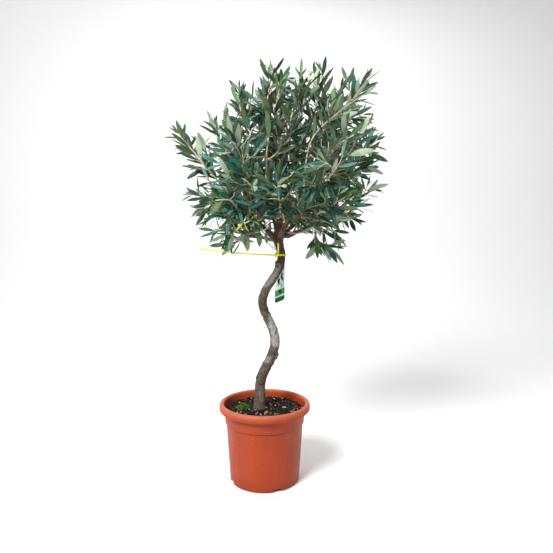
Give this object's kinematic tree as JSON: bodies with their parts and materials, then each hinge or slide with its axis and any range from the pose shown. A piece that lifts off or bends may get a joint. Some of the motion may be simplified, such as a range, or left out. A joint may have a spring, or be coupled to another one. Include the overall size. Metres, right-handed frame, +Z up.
{
  "type": "potted olive tree",
  "caption": "Young olive tree with a corkscrew stem and a full, uneven crown, in a round tapering plastic pot with a rolled rim.",
  "frame": {"origin": "centre of the pot's flat underside, on the pot's axis", "axes": "+Z up, -Y towards the front, +X to the right; the stem leans and winds towards +X"},
  "size_m": [0.6037, 0.5136, 1.1832],
  "materials": {
    "pot": "terracotta-coloured moulded plastic, satin",
    "compost": "dark moist compost with bark chips and moss",
    "bark": "grey-brown bark, matte, with pale patches",
    "foliage": "blue-green leaves with sage undersides, softly glossy",
    "tie": "yellow plastic strap",
    "label": "printed plastic, white and green"
  },
  "bodies": {
    "root": {"bough_back": "bark", "bough_centre": "bark", "bough_centre_right": "bark", "bough_front": "bark", "bough_left": "bark", "bough_left_low": "bark", "bough_right": "bark", "bough_right_back": "bark", "foliage_hanging_far_left": "foliage", "foliage_hanging_left": "foliage", "foliage_hanging_right": "foliage", "foliage_heart": "foliage", "foliage_low_back": "foliage", "foliage_low_front": "foliage", "foliage_low_left": "foliage", "foliage_low_left_back": "foliage", "foliage_low_left_front": "foliage", "foliage_low_right": "foliage", "foliage_low_right_back": "foliage", "foliage_low_right_front": "foliage", "foliage_middle_left": "foliage", "foliage_middle_left_back": "foliage", "foliage_middle_left_front": "foliage", "foliage_middle_left_high": "foliage", "foliage_middle_right": "foliage", "foliage_middle_right_back": "foliage", "foliage_middle_right_front": "foliage", "foliage_top_back": "foliage", "foliage_top_centre_left": "foliage", "foliage_top_centre_right": "foliage", "foliage_top_front": "foliage", "foliage_top_left": "foliage", "foliage_top_right": "foliage", "foliage_top_right_high": "foliage", "label_tie": "tie", "plant_label": "label", "pot": "pot", "soil": "compost", "trunk": "bark"}
  },
  "joints": []
}
